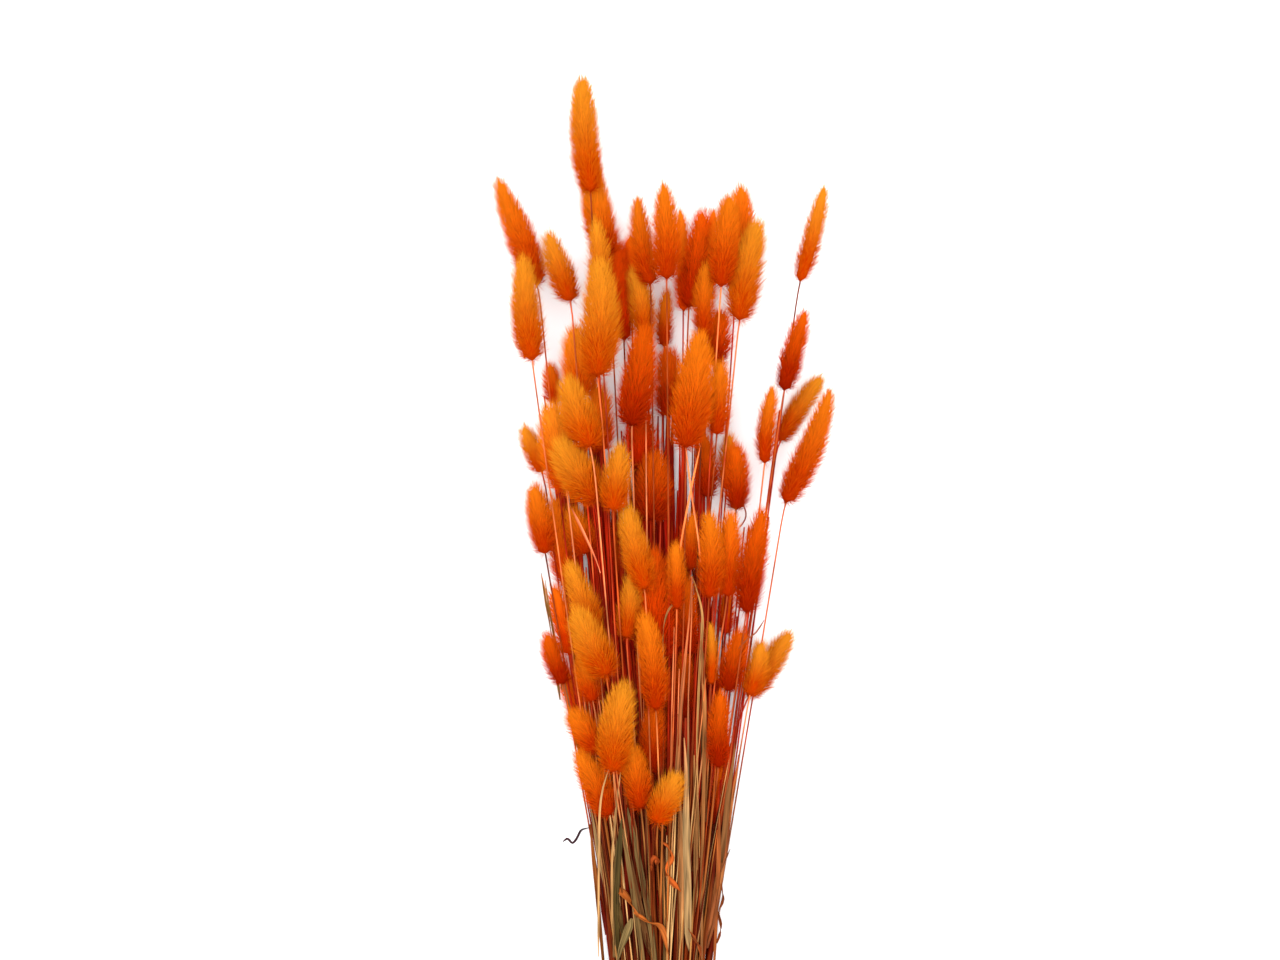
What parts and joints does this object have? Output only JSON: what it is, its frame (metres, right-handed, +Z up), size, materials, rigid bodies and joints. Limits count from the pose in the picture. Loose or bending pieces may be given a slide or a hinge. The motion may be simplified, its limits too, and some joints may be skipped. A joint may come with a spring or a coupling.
{
  "type": "dried bunny tail grass bunch",
  "caption": "Tied bunch of dried, orange-dyed bunny tail grass lying down: fluffy oval heads on thin stems with straw leaf sheaths.",
  "frame": {"origin": "middle of the bunch's footprint, on the surface that it lies on", "axes": "+Y along the bunch from the cut ends to the tips, +X across it, +Z up from the surface"},
  "size_m": [0.1984, 0.601, 0.0912],
  "materials": {
    "fluff_amber": "matte",
    "fluff_orange": "matte",
    "fluff_red": "matte",
    "dry_straw": "matte",
    "tie_rubber": "satin"
  },
  "bodies": {
    "root": {"stalk_amber_1": "fluff_amber", "stalk_orange_2": "fluff_orange", "stalk_amber_3": "fluff_amber", "stalk_amber_4": "fluff_amber", "stalk_red_5": "fluff_red", "stalk_orange_6": "fluff_orange", "stalk_amber_7": "fluff_amber", "stalk_amber_8": "fluff_amber", "stalk_orange_9": "fluff_orange", "stalk_orange_10": "fluff_orange", "stalk_red_11": "fluff_red", "stalk_orange_12": "fluff_orange", "stalk_orange_13": "fluff_orange", "stalk_amber_14": "fluff_amber", "stalk_amber_15": "fluff_amber", "stalk_orange_16": "fluff_orange", "stalk_amber_17": "fluff_amber", "stalk_amber_18": "fluff_amber", "stalk_red_19": "fluff_red", "stalk_orange_20": "fluff_orange", "stalk_orange_21": "fluff_orange", "stalk_red_22": "fluff_red", "stalk_red_23": "fluff_red", "stalk_orange_24": "fluff_orange", "stalk_orange_25": "fluff_orange", "stalk_amber_26": "fluff_amber", "stalk_amber_27": "fluff_amber", "stalk_amber_28": "fluff_amber", "stalk_amber_29": "fluff_amber", "stalk_amber_30": "fluff_amber", "stalk_orange_31": "fluff_orange", "stalk_amber_32": "fluff_amber", "stalk_red_33": "fluff_red", "stalk_orange_34": "fluff_orange", "stalk_orange_35": "fluff_orange", "stalk_red_36": "fluff_red", "stalk_red_37": "fluff_red", "stalk_orange_38": "fluff_orange", "stalk_amber_39": "fluff_amber", "stalk_amber_40": "fluff_amber", "stalk_amber_41": "fluff_amber", "stalk_red_42": "fluff_red", "stalk_red_43": "fluff_red", "stalk_orange_44": "fluff_orange", "stalk_orange_45": "fluff_orange", "stalk_red_46": "fluff_red", "stalk_orange_47": "fluff_orange", "stalk_red_48": "fluff_red", "stalk_amber_49": "fluff_amber", "stalk_amber_50": "fluff_amber", "stalk_red_51": "fluff_red", "stalk_amber_52": "fluff_amber", "stalk_orange_53": "fluff_orange", "stalk_orange_54": "fluff_orange", "stalk_orange_55": "fluff_orange", "stalk_amber_56": "fluff_amber", "stalk_red_57": "fluff_red", "stalk_red_58": "fluff_red", "tie_band": "tie_rubber"}
  },
  "joints": []
}
